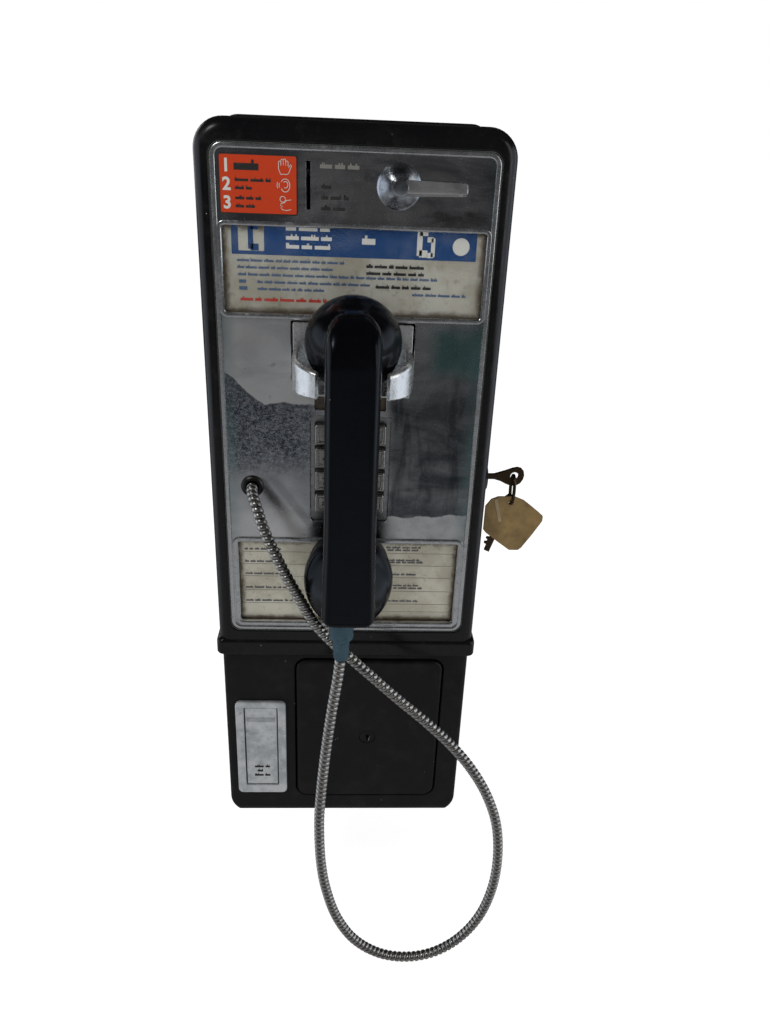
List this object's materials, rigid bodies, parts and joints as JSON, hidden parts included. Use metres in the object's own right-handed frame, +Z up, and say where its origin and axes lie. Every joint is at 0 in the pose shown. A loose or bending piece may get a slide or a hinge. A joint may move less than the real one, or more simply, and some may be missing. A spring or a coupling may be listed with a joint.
{
  "type": "payphone",
  "caption": "Wall payphone with push-button keypad, hanging handset on an armoured cord, coin release lever, coin return flap and locked coin vault.",
  "frame": {"origin": "centre of the back plate's rear face, on the wall; z = 0 is the middle of the housing's height", "axes": "+X right and +Z up for someone facing the phone, +Y into the wall"},
  "size_m": [0.2429, 0.224, 0.6399],
  "materials": {
    "black_gloss": "glossy black enamel with dust and chipped edges",
    "black_matte": "semi-matt black paint",
    "chrome_plate": "worn, clouded chrome plate with scratches and pitting",
    "key_caps": "satin chrome key caps",
    "satin_zinc": "satin zinc die casting, scuffed",
    "steel": "plated sheet steel",
    "armour_steel": "interlocked stainless armour, dulled between the turns",
    "brass": "brass, slightly tarnished",
    "copper": "enamelled copper winding",
    "moulded_black": "moulded phenolic",
    "clear_window": "clear acrylic sheet",
    "card": "aged printed card",
    "orange_placard": "orange printed plate",
    "handset_black": "polished black plastic",
    "boot_rubber": "blue-grey moulded rubber",
    "key_bronze": "dark tarnished brass",
    "tag_fibre": "tan vulcanised fibre, worn at its edges"
  },
  "bodies": {
    "base": {"backplate": "black_matte", "lower_housing": "black_matte", "coin_return_frame": "satin_zinc", "flap_hinge_pin": "steel", "coin_return_bucket": "steel", "vault_liner": "steel", "coin_acceptor": "satin_zinc", "coin_hopper": "satin_zinc", "coin_relay_frame": "steel", "coin_relay_coil": "copper", "ringer_frame": "steel", "ringer_gong": "brass", "network_block": "moulded_black"},
    "cover": {"upper_housing": "black_gloss", "faceplate": "chrome_plate", "upper_card_window": "clear_window", "upper_card": "card", "lower_card_window": "clear_window", "lower_card": "card", "number_card": "card", "dialing_placard": "orange_placard", "keypad_frame": "chrome_plate", "keypad_switch_unit": "moulded_black", "hook_pivot_pin": "steel", "hook_bracket": "steel", "hookswitch": "moulded_black", "release_spring": "steel", "cord_grommet": "steel", "armored_cord": "armour_steel", "housing_lock": "satin_zinc"},
    "handset": {"handset_shell": "handset_black", "ear_cap": "handset_black", "mouth_cap": "handset_black", "receiver_unit": "satin_zinc", "transmitter_unit": "satin_zinc", "cord_boot": "boot_rubber"},
    "hook": {"hook_cradle": "chrome_plate"},
    "release": {"coin_release_lever": "chrome_plate", "release_shaft": "steel"},
    "return_flap": {"coin_return_flap": "satin_zinc"},
    "vault_door": {"vault_door": "black_matte"},
    "vault_lock": {"vault_lock": "black_matte"},
    "coin_box": {"coin_box": "steel"},
    "side_key": {"lock_plug": "brass", "housing_key": "key_bronze"},
    "tag": {"key_link": "key_bronze", "key_tag": "tag_fibre", "spare_key": "key_bronze"},
    "key_1": {"key_1": "key_caps"},
    "key_2": {"key_2": "key_caps"},
    "key_3": {"key_3": "key_caps"},
    "key_4": {"key_4": "key_caps"},
    "key_5": {"key_5": "key_caps"},
    "key_6": {"key_6": "key_caps"},
    "key_7": {"key_7": "key_caps"},
    "key_8": {"key_8": "key_caps"},
    "key_9": {"key_9": "key_caps"},
    "key_star": {"key_star": "key_caps"},
    "key_0": {"key_0": "key_caps"},
    "key_hash": {"key_hash": "key_caps"}
  },
  "joints": [
    {"name": "cover_slide", "type": "slide", "parent": "base", "child": "cover", "axis": [0, -1, 0], "range_m": [0, 0.12]},
    {"name": "handset_lift", "type": "slide", "parent": "cover", "child": "handset", "axis": [0, 0, 1], "range_m": [0, 0.032]},
    {"name": "hook_pivot", "type": "hinge", "parent": "cover", "child": "hook", "pos_m": [0, -0.13, 0.112], "axis": [-1, 0, 0], "range_deg": [0, 8.1]},
    {"name": "coin_release", "type": "hinge", "parent": "cover", "child": "release", "pos_m": [0.0253, -0.146, 0.2326], "axis": [0, 1, 0], "range_deg": [0, 35], "stiffness_Nm_per_rad": 0.04, "springref_deg": -28.65},
    {"name": "return_flap_hinge", "type": "hinge", "parent": "base", "child": "return_flap", "pos_m": [-0.06715, -0.136, -0.158], "axis": [1, 0, 0], "range_deg": [0, 45], "stiffness_Nm_per_rad": 0.02, "springref_deg": -22.92},
    {"name": "vault_door_pull", "type": "slide", "parent": "base", "child": "vault_door", "axis": [0, -1, 0], "range_m": [0, 0.038]},
    {"name": "vault_lock_turn", "type": "hinge", "parent": "vault_door", "child": "vault_lock", "pos_m": [0.0184, -0.138, -0.1835], "axis": [0, 1, 0], "range_deg": [0, 90]},
    {"name": "coin_box_slide", "type": "slide", "parent": "base", "child": "coin_box", "axis": [0, -1, 0], "range_m": [0, 0.035]},
    {"name": "side_key_turn", "type": "hinge", "parent": "cover", "child": "side_key", "pos_m": [0.0975, -0.126, 0.0418], "axis": [1, 0, 0], "range_deg": [0, 90]},
    {"name": "tag_swing", "type": "hinge", "parent": "side_key", "child": "tag", "pos_m": [0.1178, -0.126, 0.0426], "axis": [0, 1, 0], "range_deg": [-60, 3]},
    {"name": "key_1_press", "type": "slide", "parent": "cover", "child": "key_1", "axis": [0, 1, 0], "range_m": [0, 0.003], "stiffness_N_per_m": 250, "springref_m": -0.002},
    {"name": "key_2_press", "type": "slide", "parent": "cover", "child": "key_2", "axis": [0, 1, 0], "range_m": [0, 0.003], "stiffness_N_per_m": 250, "springref_m": -0.002},
    {"name": "key_3_press", "type": "slide", "parent": "cover", "child": "key_3", "axis": [0, 1, 0], "range_m": [0, 0.003], "stiffness_N_per_m": 250, "springref_m": -0.002},
    {"name": "key_4_press", "type": "slide", "parent": "cover", "child": "key_4", "axis": [0, 1, 0], "range_m": [0, 0.003], "stiffness_N_per_m": 250, "springref_m": -0.002},
    {"name": "key_5_press", "type": "slide", "parent": "cover", "child": "key_5", "axis": [0, 1, 0], "range_m": [0, 0.003], "stiffness_N_per_m": 250, "springref_m": -0.002},
    {"name": "key_6_press", "type": "slide", "parent": "cover", "child": "key_6", "axis": [0, 1, 0], "range_m": [0, 0.003], "stiffness_N_per_m": 250, "springref_m": -0.002},
    {"name": "key_7_press", "type": "slide", "parent": "cover", "child": "key_7", "axis": [0, 1, 0], "range_m": [0, 0.003], "stiffness_N_per_m": 250, "springref_m": -0.002},
    {"name": "key_8_press", "type": "slide", "parent": "cover", "child": "key_8", "axis": [0, 1, 0], "range_m": [0, 0.003], "stiffness_N_per_m": 250, "springref_m": -0.002},
    {"name": "key_9_press", "type": "slide", "parent": "cover", "child": "key_9", "axis": [0, 1, 0], "range_m": [0, 0.003], "stiffness_N_per_m": 250, "springref_m": -0.002},
    {"name": "key_star_press", "type": "slide", "parent": "cover", "child": "key_star", "axis": [0, 1, 0], "range_m": [0, 0.003], "stiffness_N_per_m": 250, "springref_m": -0.002},
    {"name": "key_0_press", "type": "slide", "parent": "cover", "child": "key_0", "axis": [0, 1, 0], "range_m": [0, 0.003], "stiffness_N_per_m": 250, "springref_m": -0.002},
    {"name": "key_hash_press", "type": "slide", "parent": "cover", "child": "key_hash", "axis": [0, 1, 0], "range_m": [0, 0.003], "stiffness_N_per_m": 250, "springref_m": -0.002}
  ],
  "couplings": [
    {"joint": "hook_pivot", "follows": "handset_lift", "rad_per_m": 4.363},
    {"joint": "coin_box_slide", "follows": "vault_door_pull", "ratio": 0.9}
  ]
}
